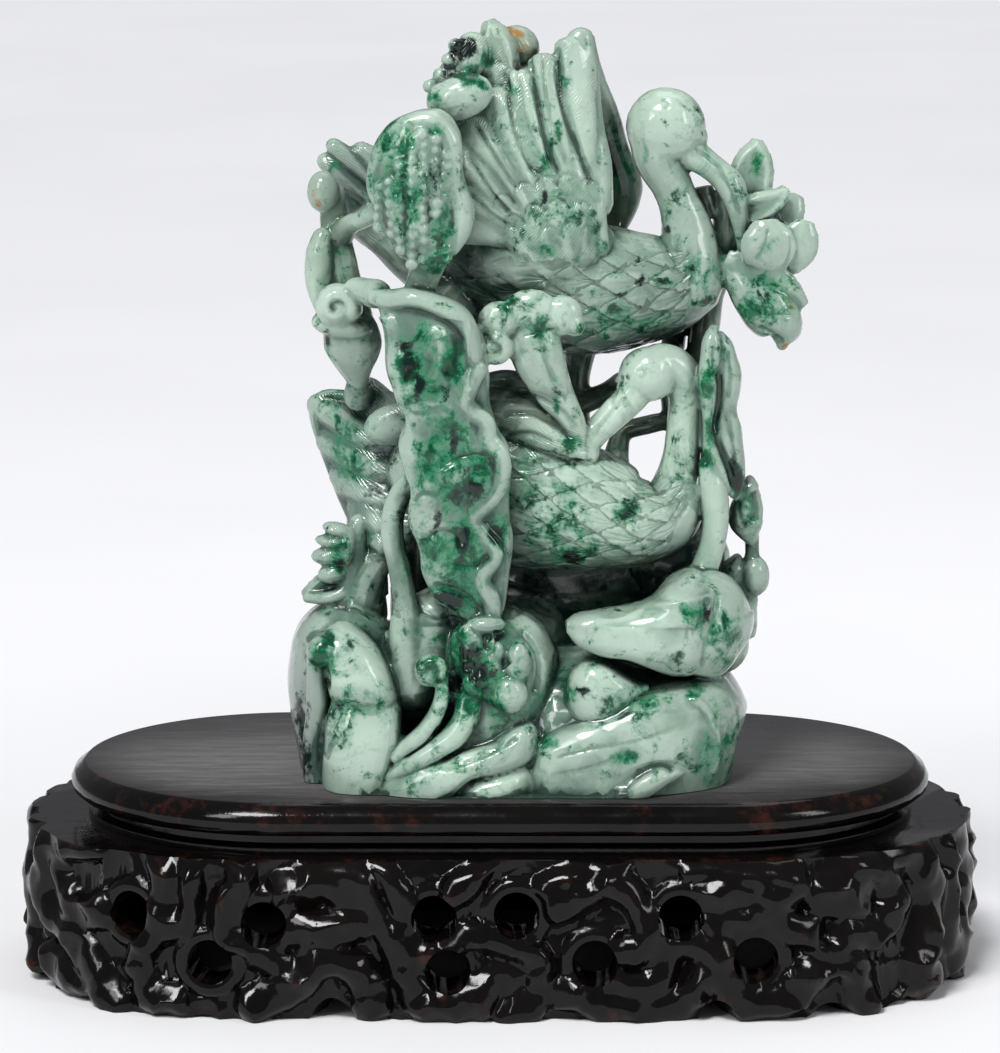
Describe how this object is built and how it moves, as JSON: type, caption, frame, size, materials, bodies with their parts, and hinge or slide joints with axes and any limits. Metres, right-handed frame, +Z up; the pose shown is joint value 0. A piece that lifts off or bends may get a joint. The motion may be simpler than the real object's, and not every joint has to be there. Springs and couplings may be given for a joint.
{
  "type": "jade stork carving",
  "caption": "Jade group of storks, lotus leaves, seed pod and rocks carved from one block, resting on an oval carved wooden stand.",
  "frame": {"origin": "on the ground, under the middle of the oval stand", "axes": "+Z up; +X along the stand's length, to the viewer's right; +Y away from the viewer, so the front faces -Y"},
  "size_m": [0.3032, 0.1464, 0.2989],
  "materials": {
    "black_lacquered_wood": "black lacquer, glossy on the carved skirt and satin on the board's top",
    "jade": "polished, slightly translucent pale green with emerald, near-black and small brown patches"
  },
  "bodies": {
    "root": {"stand": "black_lacquered_wood", "jade_carving": "jade"}
  },
  "joints": []
}
